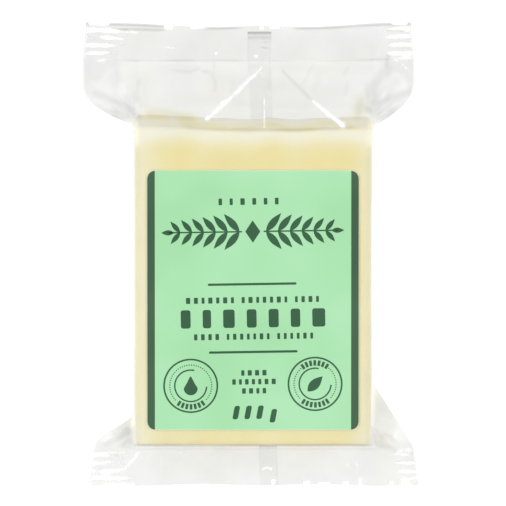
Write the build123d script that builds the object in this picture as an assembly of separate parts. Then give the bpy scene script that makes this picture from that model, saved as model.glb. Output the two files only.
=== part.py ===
"""Cheddar block sealed in a clear flow wrap, with a label on its front.

The pack lies on its back. X runs across the block, Y along it towards the end with
the longer taper, and Z up through its height. The origin is on the resting face,
under the middle of the block. There are three pieces, and each is one solid in its
own node: the cheese, the film bag around it, and the label.
"""

from build123d import *
import os
from math import cos, pi, sin

# ---- driving sizes, in millimetres ----

# cheese
block_width = 82.0
block_length = 112.0
block_height = 32.0
block_edge_radius = 2.5

# film: its wall, and the tapers that bring it from the block to the flat seals
film_wall = 0.25
top_taper = 20.2
bottom_taper = 2.4
seal_band = 13.8
seal_thickness = 0.35

# crimp ribs pressed across each seal
rib_count = 5
rib_depth = 0.5

# ears: the film of each side wall, folded flat beside the block. A full ear reaches
# half the pack's height, plus its own slack. It leaves the block's side this far
# short of the block's end, and a top ear is full after its own rise.
top_left_slack = 1.8
top_right_slack = -1.3
bottom_left_slack = -2.0
bottom_right_slack = -1.6
top_left_ear_start = 2.1
top_right_ear_start = 2.7
top_left_ear_rise = 14.4
top_right_ear_rise = 17.0
bottom_left_ear_start = 10.5
bottom_right_ear_start = 20.9

# how much wider or narrower the ears of a seal are at its outer edge
top_seal_lean = -1.3
bottom_seal_lean = 2.2

# outer edges of the seals, each cut on a shallow arc
top_edge_sag = 2.0
bottom_edge_sag = 0.5

# lapped seam of the film, down the back of the pack; it wanders to one side
seam_width = 8.2
seam_step = 0.3
seam_bevel = 0.4
seam_offset_top = 2.1
seam_offset_bottom = 4.7

# label
label_side_margin = 4.35
label_top_margin = 15.5
label_bottom_margin = 5.85
label_corner_radius = 3.0
label_thickness = 0.15

# how finely the bag's skin follows its curves
corner_steps = 4
ear_steps = 7
ear_power = 2.2

# ---- levels and places that follow from them ----

half_width = block_width / 2
half_length = block_length / 2
bag_height = block_height + 2 * film_wall
mid_height = bag_height / 2
bag_half_width = half_width + film_wall
bag_corner_radius = block_edge_radius + film_wall
sleeve_end = half_length + film_wall
top_seal_start = half_length + top_taper
top_seal_end = top_seal_start + seal_band
bottom_seal_start = -half_length - bottom_taper
bottom_seal_end = bottom_seal_start - seal_band


def limited(share):
    """A share kept between 0 and 1."""
    return min(max(share, 0.0), 1.0)


def top_ear(y, slack, start, rise):
    """Reach of an ear at the top end: it swells fast, then levels off."""
    grown = 1 - (1 - limited((y - half_length + start) / rise)) ** ear_power
    lean = top_seal_lean * max(0.0, y - top_seal_start) / seal_band
    return (mid_height + slack) * grown + lean


def bottom_ear(y, slack, start, rounded):
    """Reach of an ear at the bottom end: a straight fold, or one that eases in and out."""
    grown = limited((start - half_length - y) / (start + bottom_taper))
    if rounded:
        grown = grown * grown * (3 - 2 * grown)
    lean = bottom_seal_lean * max(0.0, bottom_seal_start - y) / seal_band
    return (mid_height + slack) * grown + lean


def left_ear(y):
    if y > 0:
        return top_ear(y, top_left_slack, top_left_ear_start, top_left_ear_rise)
    return bottom_ear(y, bottom_left_slack, bottom_left_ear_start, True)


def right_ear(y):
    if y > 0:
        return top_ear(y, top_right_slack, top_right_ear_start, top_right_ear_rise)
    return bottom_ear(y, bottom_right_slack, bottom_right_ear_start, False)


def flattening(y):
    """0 where the film wraps the block, 1 where its two faces meet in a seal."""
    if y > 0:
        return limited((y - sleeve_end) / (top_seal_start - sleeve_end))
    return limited((-sleeve_end - y) / (-sleeve_end - bottom_seal_start))


def rib_level(y):
    """Height of the crimp at y: the ribs rise and fall in turn between a seal's edges."""
    start = top_seal_start if y > 0 else bottom_seal_start
    step = round(abs(y - start) / seal_band * 2 * rib_count)
    outside = abs(y) <= abs(start) or step == 2 * rib_count
    return 0.0 if outside else rib_depth / 2 * (-1) ** step


def seam_middle(y):
    """Where the back seam runs, as it wanders from one end of the pack to the other."""
    along = (y - bottom_seal_end) / (top_seal_end - bottom_seal_end)
    return seam_offset_bottom + (seam_offset_top - seam_offset_bottom) * along


def quarter_corner():
    """The front right edge of the sleeve, from the front face round to the side."""
    turns = [pi / 2 * step / corner_steps for step in range(corner_steps + 1)]
    flat_half = bag_half_width - bag_corner_radius
    flat_top = bag_height - bag_corner_radius
    return [(flat_half + bag_corner_radius * sin(t), flat_top + bag_corner_radius * cos(t)) for t in turns]


def bag_section(y):
    """The bag's closed outline at y: front, right ear, back with its seam, left ear.

    Each ear ends in two points, one seal thickness apart.
    """
    flat = flattening(y)
    middle = mid_height + rib_level(y)
    lip = seal_thickness / 2

    def front(z):
        return middle + (z - mid_height) * (1 - flat) + lip * flat

    def back(z):
        return middle - (z - mid_height) * (1 - flat) - lip * flat

    corner = quarter_corner()
    right_tip = bag_half_width + right_ear(y)
    left_tip = -bag_half_width - left_ear(y)
    seam = seam_middle(y)
    seam_foot = seam_width / 2 + seam_bevel
    back_level = back(bag_height)
    seam_level = back_level - seam_step * flat

    outline = [(x, front(z)) for x, z in corner]
    outline += [(right_tip, middle + lip), (right_tip, middle - lip)]
    outline += [(x, back(z)) for x, z in reversed(corner)]
    outline += [(seam + seam_foot, back_level), (seam + seam_width / 2, seam_level)]
    outline += [(seam - seam_width / 2, seam_level), (seam - seam_foot, back_level)]
    outline += [(-x, back(z)) for x, z in corner]
    outline += [(left_tip, middle - lip), (left_tip, middle + lip)]
    outline += [(-x, front(z)) for x, z in reversed(corner)]
    return Wire.make_polygon([(x, y, z) for x, z in outline], close=True)


def stations():
    """The places along Y where the bag's outline is set, from one end to the other."""
    places = [sleeve_end, -sleeve_end]
    for step in range(2 * rib_count + 1):
        places.append(top_seal_start + seal_band * step / (2 * rib_count))
        places.append(bottom_seal_start - seal_band * step / (2 * rib_count))
    for start, rise in ((top_left_ear_start, top_left_ear_rise), (top_right_ear_start, top_right_ear_rise)):
        places += [half_length - start + rise * (step / ear_steps) ** 1.5 for step in range(ear_steps + 1)]
    for step in range(ear_steps):
        places.append(-half_length + bottom_left_ear_start * step / ear_steps)
    places.append(-half_length + bottom_left_ear_start)
    places.append(-half_length + bottom_right_ear_start)
    return sorted({round(y, 2) for y in places})


def trim_outline():
    """A tall prism whose two ends carry the curved cuts of the seals."""
    tip = bag_half_width + mid_height
    reach = 2 * tip
    top = top_seal_end
    bottom = bottom_seal_end
    outline = Wire(
        [
            Line((-reach, bottom), (-reach, top)),
            Line((-reach, top), (-tip, top)),
            ThreePointArc((-tip, top), (0, top - top_edge_sag), (tip, top)),
            Line((tip, top), (reach, top)),
            Line((reach, top), (reach, bottom)),
            Line((reach, bottom), (tip, bottom)),
            ThreePointArc((tip, bottom), (0, bottom + bottom_edge_sag), (-tip, bottom)),
            Line((-tip, bottom), (-reach, bottom)),
        ]
    )
    prism = extrude(Face(outline), amount=3 * bag_height, dir=(0, 0, 1))
    return Pos(0, 0, -bag_height) * prism


def make_block():
    """The cheese: a plain cut block with softened edges."""
    block = Box(block_width, block_length, block_height, align=(Align.CENTER, Align.CENTER, Align.MIN))
    return Pos(0, 0, film_wall) * fillet(block.edges(), block_edge_radius)


def make_bag(block):
    """The sealed film bag, with a pocket that fits the cheese."""
    skin = Solid.make_loft([bag_section(y) for y in stations()], ruled=True)
    return (skin & trim_outline()) - block


def make_label():
    """The label, stuck to the bag's front over the block."""
    width = block_width - 2 * label_side_margin
    length = block_length - label_top_margin - label_bottom_margin
    middle = (label_bottom_margin - label_top_margin) / 2
    plate = extrude(RectangleRounded(width, length, label_corner_radius), amount=label_thickness)
    return Pos(0, middle, bag_height) * plate


os.makedirs("parts", exist_ok=True)
cheese = make_block()
export_step(cheese, "parts/cheese_block.step")
export_step(make_bag(cheese), "parts/film_bag.step")
export_step(make_label(), "parts/label.step")
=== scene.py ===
import bpy
import numpy as np
from mathutils import Matrix, Vector


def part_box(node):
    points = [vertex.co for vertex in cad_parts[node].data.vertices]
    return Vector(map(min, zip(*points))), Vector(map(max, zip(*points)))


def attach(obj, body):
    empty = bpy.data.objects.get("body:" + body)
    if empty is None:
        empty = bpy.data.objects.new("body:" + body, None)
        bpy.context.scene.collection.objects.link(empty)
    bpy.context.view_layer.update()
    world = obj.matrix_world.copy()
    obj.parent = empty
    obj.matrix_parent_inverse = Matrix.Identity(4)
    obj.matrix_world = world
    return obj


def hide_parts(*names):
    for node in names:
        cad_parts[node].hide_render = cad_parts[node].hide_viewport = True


# A block of cheddar in a clear flow wrap, lying on its back with its label up.
# Shapes are worked out in millimetres and stored in metres.
# X runs across the pack, Y along it towards the longer film end, Z up.

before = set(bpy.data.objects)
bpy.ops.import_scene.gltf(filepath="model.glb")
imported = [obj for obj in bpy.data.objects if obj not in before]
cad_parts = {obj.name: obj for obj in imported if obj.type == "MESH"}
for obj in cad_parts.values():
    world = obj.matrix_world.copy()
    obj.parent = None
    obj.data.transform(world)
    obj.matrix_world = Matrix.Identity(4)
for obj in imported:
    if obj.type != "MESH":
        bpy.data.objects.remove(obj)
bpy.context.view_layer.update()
mm = 0.001
print("frame loaded")


def inMillimetres(node):
    low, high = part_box(node)
    return np.array(low) / mm, np.array(high) / mm


blockLow, blockHigh = inMillimetres("cheese_block")
bagLow, bagHigh = inMillimetres("film_bag")
labelLow, labelHigh = inMillimetres("label")


def smoothStep(low, high, value):
    # 0 at low, 1 at high, and an eased run between them, either way round
    share = np.clip((value - low) / (high - low), 0, 1)
    return share * share * (3 - 2 * share)


def softRamp(value, width):
    # 0 on the left, value on the right, joined by a bend about width long
    return width * np.logaddexp(0, value / width)


def swell(x, y, seed, count, shortest, longest):
    # gentle unevenness: a sum of sine waves in random directions, about -1 to 1
    rng = np.random.default_rng(seed)
    total = np.zeros(np.broadcast(x, y).shape)
    for _ in range(count):
        turn, phase = rng.uniform(0, 2 * np.pi, 2)
        pitch = rng.uniform(shortest, longest)
        total += np.sin((x * np.cos(turn) + y * np.sin(turn)) * 2 * np.pi / pitch + phase)
    return total / np.sqrt(count)


def rayAt(angle):
    # a step of length one in the direction of each angle
    return np.stack([np.cos(angle), np.sin(angle)], axis=-1)


def turned(points, angle):
    # flat places turned anticlockwise about the origin
    cosine, sine = np.cos(angle), np.sin(angle)
    return points @ np.array([[cosine, sine], [-sine, cosine]])


def newObject(name, data):
    piece = bpy.data.objects.new(name, data)
    bpy.context.scene.collection.objects.link(piece)
    return piece


def meshFrom(name, points, faces, smooth=True):
    mesh = bpy.data.meshes.new(name)
    mesh.from_pydata((np.asarray(points) * mm).tolist(), [], faces)
    mesh.validate()
    mesh.polygons.foreach_set("use_smooth", [smooth] * len(mesh.polygons))
    mesh.update()
    return newObject(name, mesh)


def storeValues(piece, name, values):
    # keeps one number per point on the mesh, for its material to read
    layer = piece.data.attributes.new(name, "FLOAT", "POINT")
    layer.data.foreach_set("value", np.asarray(values, dtype=np.float32).reshape(-1))


def gridQuads(index):
    # the quads between the neighbouring rows and columns of a grid of point numbers
    corners = [index[:-1, :-1], index[:-1, 1:], index[1:, 1:], index[1:, :-1]]
    return np.stack(corners, axis=-1).reshape(-1, 4)


def loopFaces(rows, columns):
    # the quads of a grid whose columns close into a ring
    index = np.arange(rows * columns).reshape(rows, columns)
    return gridQuads(np.concatenate([index, index[:, :1]], axis=1))


def newMaterial(name):
    material = bpy.data.materials.new(name)
    material.use_nodes = True
    material.node_tree.nodes.clear()
    return material, material.node_tree


def addNode(tree, kind, **values):
    # adds a node: a value named after an input sets that input, any other sets the node itself
    node = tree.nodes.new(kind)
    for name, value in values.items():
        title = name.replace("_", " ")
        if title in node.inputs:
            node.inputs[title].default_value = value
        else:
            setattr(node, name, value)
    return node


def join(tree, source, target):
    tree.links.new(source, target)


def objectPlace(tree):
    return addNode(tree, "ShaderNodeTexCoord").outputs["Object"]


def stored(tree, name):
    # the numbers that storeValues has kept under this name
    return addNode(tree, "ShaderNodeAttribute", attribute_name=name).outputs["Fac"]


def noise(tree, place, scale, detail=3.0, roughness=0.5):
    node = addNode(tree, "ShaderNodeTexNoise", Scale=scale, Detail=detail, Roughness=roughness)
    join(tree, place, node.inputs["Vector"])
    return node.outputs["Fac"]


def bumped(tree, height, strength, distance):
    node = addNode(tree, "ShaderNodeBump", Strength=strength, Distance=distance)
    join(tree, height, node.inputs["Height"])
    return node.outputs[0]


def stretch(tree, source, fromLow, fromHigh, toLow, toHigh):
    node = addNode(tree, "ShaderNodeMapRange",
                   From_Min=fromLow, From_Max=fromHigh, To_Min=toLow, To_Max=toHigh)
    join(tree, source, node.inputs["Value"])
    return node.outputs["Result"]


def mathNode(tree, kind, total, *others):
    # takes each of the others in turn into the total; all are numbers or sockets
    for other in others:
        node = addNode(tree, "ShaderNodeMath", operation=kind)
        for socket, value in zip(node.inputs, (total, other)):
            if isinstance(value, (int, float)):
                socket.default_value = value
            else:
                join(tree, value, socket)
        total = node.outputs[0]
    return total


def blendColours(tree, share, low, high):
    # low and high are colours, or sockets that give one
    node = addNode(tree, "ShaderNodeMix", data_type="RGBA")
    colourInputs = [socket for socket in node.inputs if socket.type == "RGBA"]
    for socket, colour in zip(colourInputs, (low, high)):
        if isinstance(colour, tuple):
            socket.default_value = (*colour, 1)
        else:
            join(tree, colour, socket)
    join(tree, share, node.inputs[0])
    return next(socket for socket in node.outputs if socket.type == "RGBA")


def mixShaders(tree, share, first, second):
    node = addNode(tree, "ShaderNodeMixShader")
    join(tree, share, node.inputs[0])
    join(tree, first.outputs[0], node.inputs[1])
    join(tree, second.outputs[0], node.inputs[2])
    return node


def principled(tree, linked, **values):
    # a Principled shader: linked holds the sockets that drive its inputs, values the rest
    shader = addNode(tree, "ShaderNodeBsdfPrincipled", **values)
    for name, source in linked.items():
        join(tree, source, shader.inputs[name])
    return shader


def finishMaterial(tree, shader):
    out = addNode(tree, "ShaderNodeOutputMaterial")
    join(tree, shader.outputs[0], out.inputs["Surface"])


def linear(red, green, blue):
    # a colour given as 0 to 255 on screen, as the shader wants it
    screen = np.array([red, green, blue]) / 255
    return tuple(np.where(screen <= 0.04045, screen / 12.92, ((screen + 0.055) / 1.055) ** 2.4))


# Film: clear sheet folded round the block and crimped flat at both ends.
film = {
    "clearance": 0.12,  # from the cheese to the film
    "cornerRadius": 2.3,
    "lip": 0.07,  # half the gap between the two layers of a seal
    "overhang": (0.15, 0.4),  # how far it stays level beyond the block's bottom and top end
    "topTaper": 20.2,
    "bottomTaper": 2.4,
    "topBend": 0.9,  # how softly the film turns into the taper and the seal
    "bottomBend": 0.55,
    "topSag": 1.9,
    "edgeRise": 0.3,
    "bottomSag": 0.5,
    "edgeWave": 0.18,
    # how much the film darkens where it hangs free, in the ears and from the block outwards: its own grey
    # haze and partly painted shade
    "hazeAndShade": {
        "begins": (-3.5, -0.6),  # the back sheet's, and the front sheet's
        "grows": (1, 2.8),  # where the front sheet's passes from near to taper
        "besideTop": (0.5, 7),  # where the ears' grows, out from the block's side
        "besideBottom": (0.1, 1.8),
        "topEar": 0.21,
        "bottomEar": 0.12,
        "near": 0.05,
        "taper": 0.135,
        "topSeal": 0.165,
        "bottomSeal": 0.14,
    },
    "unevenness": 0.3,  # slow swells where the film hangs loose
    "warp": 0.5,  # how far both sheets stray together at the two ends
    "earTwist": 1.6,  # how far the ears turn up and down on top of that
    "sideFolds": 0.28,  # the folds that run in beside the block
    "tipShade": -0.25,  # painted light: a negative shade that lightens the ear tips, taking back their steep shade
    "tip": 0.955,  # the share of the way down the side at which they begin
    "cheeseTint": 0.07,  # the faint clouds of the cheese's colour off the block
    "sealLine": 0.42,  # the painted shade along the top seal's inner edge
    "rimLine": 0.5,  # and its outer edge
    "seeds": (31, 41),  # the small folds of the front and of the back
    "ribs": 5,
    "ribDepth": 0.16,
    "sleeve": (22.5, 8),  # how far in from the block's bottom and top end the ears begin
    "rows": (36, 82, 18, 80, 38),  # of the seal, taper, sleeve, taper and seal
    "panelColumns": 60,
    "cornerColumns": 5,
    "sideColumns": 22,
}
ears = {
    # full reach beyond the block's side, where the ear starts short of the block's end,
    # and for the top ones the length over which they swell
    "topLeft": {"reach": 17.9, "start": 2.1, "rise": 14.4},
    "topRight": {"reach": 14.8, "start": 2.7, "rise": 17.0},
    "bottomLeft": {"reach": 14.1, "start": 10.5, "rounded": True},
    "bottomRight": {"reach": 14.7, "start": 20.9, "rounded": False},
    "topLean": -1.3,
    "bottomLean": 2.2,
    "power": 2.2,
}
# Long folds: the places each passes through, its height, its half width, how white its crest is,
# partly stress whitening and partly painted highlight, and how much painted shade it lays on the film
# along it.
frontFolds = [
    ([(-17.5, 57), (-12.6, 60.9), (-8.5, 64.3), (-5.2, 66.9), (-1.2, 70.6), (3.9, 75.2)],
     0.7, (1.25, 0.85), 0.85, 0),
    ([(-14.2, 59.7), (-11.2, 62.2), (-7.4, 65.3)], 0.25, 1.5, 0.8, 0),
    ([(9.5, 73.9), (16.8, 67.2), (20.9, 63.5)], -0.5, (0.6, 1.2), 0, 0.22),
    ([(19.6, 64.6), (25, 60.6), (29.1, 57.6), (33, 54.2)], 0.9, (0.8, 1.7), 0.95, 0),
    ([(29.5, 58.4), (33.4, 54)], 0.3, (1, 2.3), 0.8, 0),
    ([(30.2, 59.4), (31.4, 57.6)], -0.2, 1, 0, 0.5),
    ([(3.7, 66), (3.9, 54.6)], 0.25, 0.7, 0.7, 0),
    ([(2.2, 81.3), (5.8, 80.9)], 0, 0.5, 0, 0.35),
    ([(3.4, 83.2), (5.4, 83)], 0, 0.4, 0, 0.25),
    ([(-12.2, 80.6), (-13.4, 77.2)], 0.3, (0.7, 1.1), 0.95, 0),
    ([(-31.2, 81.1), (-25.4, 81)], 0.1, 0.5, 0.6, 0),
    ([(0, 79.3), (2.3, 77.1)], 0.2, 0.8, 1, 0),
    ([(5.4, 78.8), (5.6, 74.6)], 0.2, 0.6, 0.8, 0),
    ([(-52.3, 87.2), (-42, 87.5), (-29.6, 87.2)], -0.15, 0.8, 0, 0.35),
    ([(-53, 86.3), (-46, 86.5), (-38, 86.4)], 0.15, 0.7, 0.75, 0),
    ([(2.6, -66.8), (4.4, -65.7), (6.4, -66.1), (6.1, -67.6)], 0.1, 0.7, 1, 0),
    ([(-13.4, 77.2), (-13.6, 72), (-13.8, 65.8)], 0.35, 0.9, 0, 0.08),
    ([(-18.8, 73.3), (-15, 73), (-12.9, 69.9), (-13.3, 65.8)], 0.3, 1, 0, 0.12),
    ([(-29, 73.6), (-22, 73), (-17.5, 74.3)], 0.2, 0.8, 0, 0.1),
    ([(-57.5, 66.6), (-53, 64.8), (-48.3, 62.9), (-42.3, 60.8), (-38.9, 58.4), (-36.6, 57.6)],
     -0.5, (2.6, 2), 0, 0.22),
    ([(-43, 60.9), (-39.4, 58.9), (-37.2, 57.9)], -0.2, 1.3, 0, 0.26),
    ([(-46.6, 76.5), (-47.5, 69), (-47, 62.5)], 0.2, 4.5, 0, 0.13),
    ([(46.3, 78.5), (45.9, 73.2), (42.4, 69.1), (39, 64.4), (36.8, 61.8)], -0.2, 3.2, 0, 0.2),
    ([(46.6, 79.5), (46, 73.6), (44.6, 71.4)], -0.2, 1, 0, 0.24),
    ([(57, 67.2), (54.4, 65.8), (50.2, 64.4), (46.3, 63.5), (42.4, 63), (36.5, 63.2)],
     -0.25, 2.4, 0, 0.2),
    ([(36.4, 63.2), (39.2, 61.6), (40.9, 60), (40.6, 57.6)], -0.4, 2.1, 0, 0.34),
    ([(47, 77), (49.9, 76.5), (52.2, 74.7), (55, 72)], 0.35, 1.3, 0.45, 0),
    ([(-56.5, 76.3), (-52, 76.6), (-49, 78)], 0.1, 1, 0.5, 0),
    ([(-39.4, -58.6), (-40.4, -61.6), (-43.2, -64.4), (-45, -66.8)], 0.4, (1.1, 0.7), 1, 0),
    ([(-25.2, -59.4), (-25.4, -61.8)], 0.1, 0.5, 0.9, 0),
    ([(-25.7, -65.6), (-25.6, -68)], 0.1, 0.5, 0.9, 0),
    ([(-15.3, -66), (-15.1, -67.8)], 0.1, 0.5, 0.9, 0),
    ([(32.8, -63), (33.4, -67.6)], 0.1, 0.7, 0.6, 0),
    ([(35.8, -62.6), (36, -68)], 0.1, 0.7, 0.7, 0),
    ([(-25, 56), (-19, 55.2), (-6, 54.4)], 0, (1.2, 0.6), 0, 0.12),
    ([(-8, 54.9), (8, 54.5), (20, 54.8), (35, 55.6)], 0, 0.7, 0, 0.22),
    ([(34.4, 57), (36.4, 60), (37.4, 64), (38.4, 68.5)], 0, (2.6, 4), 0, 0.26),
    ([(-41, -50), (-46, -54.5), (-53, -58.6)], -0.5, 1.8, 0, 0.3),
    ([(-52, -60), (-47, -60.8), (-42.5, -60)], 0.3, 1.4, 0.5, 0),
    ([(42, -40.5), (47, -50), (54.5, -59.5)], 0.3, 1.8, 0, 0),
    ([(40.4, 61.8), (47.6, 70.4)], 0, 2.2, 0, 0.19),
    ([(46, 66.5), (53, 72.5)], 0, 3, 0, 0.15),
    ([(41.6, -54), (45, -58), (52, -60.5)], -0.5, 1.9, 0, 0.15),
    ([(48, -60.6), (53.5, -59.4), (56, -60.4)], 0.3, 1.2, 0.7, 0),
    ([(-42.5, -55.9), (-20, -56), (20, -55.8), (42, -55.9)], 0, 1.1, 0, 0.3),
    ([(-39, 60.8), (-34, 60.2), (-27, 59.2), (-19, 57.8)], 0, 2.4, 0, 0.09),
    ([(-39.9, -56), (-39.9, 50)], 0, 1.3, 0, 0.14),
    ([(39.9, -56), (39.9, 50)], 0, 1.3, 0, 0.14),
]
# Painted reflections of the cheese: patches where the front film near the block's end is
# tinted the cheese's colour; the places of each patch, its half width and its strength.
paintedCheeseReflections = [
    ([(-41, 60.6), (-35, 59.8), (-27, 58.8), (-16.5, 57.2)], 2.9, 0.95),
    ([(33, 54), (36.2, 60.6), (37.8, 68)], 4.4, 0.7),
    ([(41.5, 65.5), (43.5, 68.5)], 2.6, 0.3),
    ([(45, 70), (49.5, 70.5)], 3.2, 0.16),
]
# Painted glints along the outer edges of the seals, as short white nicks: place, half width and depth.
nicks = {
    "top": [(-53, 3.6, 1.2), (-29.2, 1.6, 1.6), (-18.8, 2.8, 1), (3, 0.8, 1.4),
            (7.4, 1.9, 0.9), (50.5, 3, 0.9)],
    "bottom": [(-57, 1, 1.6), (-46.5, 5.6, 0.9), (7, 0.8, 2), (18.6, 1.5, 1.2),
               (24.6, 2.2, 0.7), (32.2, 1.2, 1.4), (37.2, 0.7, 2.6), (48, 1, 1.8),
               (53, 1.6, 2.6)],
}
# painted glints on the seals: white bands along the ribs at the two ends, and white nicks on the outer
# edge
glintLook = {
    "begins": 1,  # how far beyond the block's side the painted glint bands begin
    "full": 10,  # and where they reach their full strength
    "shorter": 4.5,  # how much later they begin at the bottom right
    "ragged": 2.6,  # how unevenly they begin
    "bands": 1.15,  # their strength
    "broken": 0.3,  # how much they break up
    "nicks": 1.1,  # the strength of the nicks
}
filmLook = {
    "roughness": 0.17,
    "steepShade": 0.2,  # painted shade where the sheet tilts, but not where it is seen edge on
    "patches": 0.03,  # uneven darkness all over
    # the colour the warm mark turns the film to: painted reflection of the cheese, and faint clouds of
    # its tone
    "warmTint": (0.95, 0.9, 0.66),
    "shadeTint": (0.5, 0.5, 0.5),  # what a full mark of shade turns the sheet to
    "edgeShine": 0.1,
    "glow": 0.14,  # painted glow of the white marks, standing in for the light they scatter from behind
    "crumbScale": 420,
    "streakScale": (85, 340, 85),
}
filmHalfWidth = blockHigh[0] + film["clearance"]
filmTop = blockHigh[2] + film["clearance"]
filmBottom = blockLow[2] - film["clearance"]
middleLevel = (filmTop + filmBottom) / 2
halfHeight = (filmTop - filmBottom) / 2
topSealStart = blockHigh[1] + film["topTaper"]
bottomSealStart = blockLow[1] - film["bottomTaper"]
topEdge = bagHigh[1]
bottomEdge = bagLow[1]


# Fans of small folds: the side and place of each corner, and how many folds lie between
# which two angles and how far they reach.
fans = [
    (-1, blockHigh[1], 9, 78, 168, 17),
    (1, blockHigh[1], 9, 12, 102, 17),
    (-1, blockLow[1] + 4, 6, 195, 262, 14),
    (1, blockLow[1] + 4, 7, -82, -25, 16),
]


def fanFolds(seed, corner, count, low, high, reach):
    # thin folds that fan out from a corner of the block, between two angles in degrees, each with a
    # little painted shade along it
    rng = np.random.default_rng(seed)
    fan = []
    for turn in np.radians(np.linspace(low, high, count) + rng.uniform(-7, 7, count)):
        ray = rayAt(turn)
        across = np.array([-ray[1], ray[0]])
        start, stop = rng.uniform(0.5, 5), reach * rng.uniform(0.55, 1.0)
        bent = (start + stop) / 2 * ray + rng.uniform(-1, 1) * across
        places = [corner + start * ray, corner + bent, corner + stop * ray]
        height = rng.uniform(0.15, 0.5) * rng.choice([-1, 1])
        fan.append((places, height, rng.uniform(0.7, 1.6), 0.0, rng.uniform(0.0, 0.12)))
    return fan


def smallFolds(seed):
    # the folds of one sheet that are too small to place one by one: a fan from each corner
    # of the block, and short ones down from the top seal, each with a little painted shade along it
    folds = []
    for step, (side, y, *fan) in enumerate(fans):
        folds += fanFolds(seed + step, np.array([side * (blockHigh[0] - 0.5), y]), *fan)
    rng = np.random.default_rng(seed + len(fans))
    for x in rng.uniform(-38, 38, 9):
        top = rng.uniform(70, 76)
        places = [(x, top), (x + rng.normal(0, 2.5), top - rng.uniform(4, 12))]
        height, width = rng.uniform(-0.3, 0.3), rng.uniform(0.8, 1.8)
        folds.append((places, height, width, 0.0, rng.uniform(0.0, 0.08)))
    return folds


def lineShape(x, y, places, width):
    # 1 on a bent line, falling straight to 0 at its half width, and fading at both tips;
    # the half width is one number, or a pair for its start and its end
    first, last = np.broadcast_to(width, 2)
    nearest = np.full(np.broadcast(x, y).shape, np.inf)
    run = np.zeros_like(nearest)
    length = 0.0
    for (ax, ay), (bx, by) in zip(places, places[1:]):
        reach = np.hypot(bx - ax, by - ay)
        share = np.clip(((x - ax) * (bx - ax) + (y - ay) * (by - ay)) / reach ** 2, 0, 1)
        gap = np.hypot(x - ax - share * (bx - ax), y - ay - share * (by - ay))
        run = np.where(gap < nearest, length + share * reach, run)
        nearest = np.minimum(gap, nearest)
        length += reach
    tips = smoothStep(0, 2 * first, run) * smoothStep(0, 2 * last, length - run)
    return np.clip(1 - nearest / (first + (last - first) * run / length), 0, 1) * tips


def foldField(x, y, folds):
    # the height, the crest white (stress whitening and painted highlight) and the painted shade of a list
    # of folds
    rise = np.zeros(np.broadcast(x, y).shape)
    white = np.zeros_like(rise)
    dark = np.zeros_like(rise)
    for places, height, width, whiteness, darkness in folds:
        shape = lineShape(x, y, places, width)
        rise += height * shape ** 1.3
        white = np.maximum(white, whiteness * smoothStep(0.15, 0.8, shape))
        dark = np.maximum(dark, darkness * smoothStep(0.0, 0.9, shape))
    return rise, white, dark


def earReach(y, side):
    # how far the folded film stands out beside the block: it swells from the block's
    # corner at the top end, opens straight or eased at the bottom end, and leans in the seals
    top = ears["topLeft" if side < 0 else "topRight"]
    bottom = ears["bottomLeft" if side < 0 else "bottomRight"]
    grown = 1 - (1 - np.clip((y - blockHigh[1] + top["start"]) / top["rise"], 0, 1)) ** ears["power"]
    atTop = top["reach"] * grown
    atTop += ears["topLean"] * np.clip((y - topSealStart) / (topEdge - topSealStart), 0, 1)
    opening = bottom["start"] + film["bottomTaper"]
    opened = np.clip((blockLow[1] + bottom["start"] - y) / opening, 0, 1)
    if bottom["rounded"]:
        opened = opened * opened * (3 - 2 * opened)
    atBottom = bottom["reach"] * opened
    atBottom += ears["bottomLean"] * np.clip((bottomSealStart - y) / (bottomSealStart - bottomEdge), 0, 1)
    return np.where(y > 0, atTop, atBottom)


def halfGap(y):
    # half the distance between the front and back film: the pack's half height over the
    # block, then a straight taper with soft bends down to the lip of the seal
    bottomStart, topStart = blockLow[1] - film["overhang"][0], blockHigh[1] + film["overhang"][1]
    topSlope = (halfHeight - film["lip"]) / (topSealStart - topStart)
    bottomSlope = (halfHeight - film["lip"]) / (bottomStart - bottomSealStart)
    atTop = softRamp(y - topStart, film["topBend"]) - softRamp(y - topSealStart, film["topBend"])
    atBottom = softRamp(bottomStart - y, film["bottomBend"])
    atBottom -= softRamp(bottomSealStart - y, film["bottomBend"])
    return halfHeight - np.where(y > 0, topSlope * atTop, bottomSlope * atBottom)


def evenRows(start, stop, rise, count):
    # places from start to stop, evenly spaced along the curve (y, rise(y))
    fine = np.linspace(start, stop, 6000)
    length = np.concatenate([[0], np.cumsum(np.hypot(np.diff(fine), np.diff(rise(fine))))])
    return np.interp(np.linspace(0, length[-1], count + 1), length, fine)


def filmRows():
    # the rows of the bag from its bottom edge to its top edge: for each, the place of the
    # front film and of the left and right ear tips, and how far it is into a seal
    sleeveLow, sleeveHigh = blockLow[1] + film["sleeve"][0], blockHigh[1] - film["sleeve"][1]
    zones = [
        ("seal", bottomSealStart, bottomEdge),
        ("taper", bottomSealStart, sleeveLow),
        ("sleeve", sleeveLow, sleeveHigh),
        ("taper", sleeveHigh, topSealStart),
        ("seal", topSealStart, topEdge),
    ]
    rises = (halfGap, lambda y: earReach(y, -1), lambda y: earReach(y, 1))
    columns = [[], [], [], []]
    for (kind, start, stop), count in zip(zones, film["rows"]):
        if kind == "taper":
            places = [evenRows(start, stop, rise, count) for rise in rises]
        else:
            places = [np.linspace(start, stop, count + 1)] * 3
        share = np.linspace(0, 1, count + 1) if kind == "seal" else np.zeros(count + 1)
        backwards = slice(None, None, -1 if kind == "seal" and stop < 0 else 1)
        fresh = slice(1 if columns[0] else 0, None)
        for gathered, values in zip(columns, (*places, share)):
            gathered.append(values[backwards][fresh])
    return [np.concatenate(parts)[:, None] for parts in columns]


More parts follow.
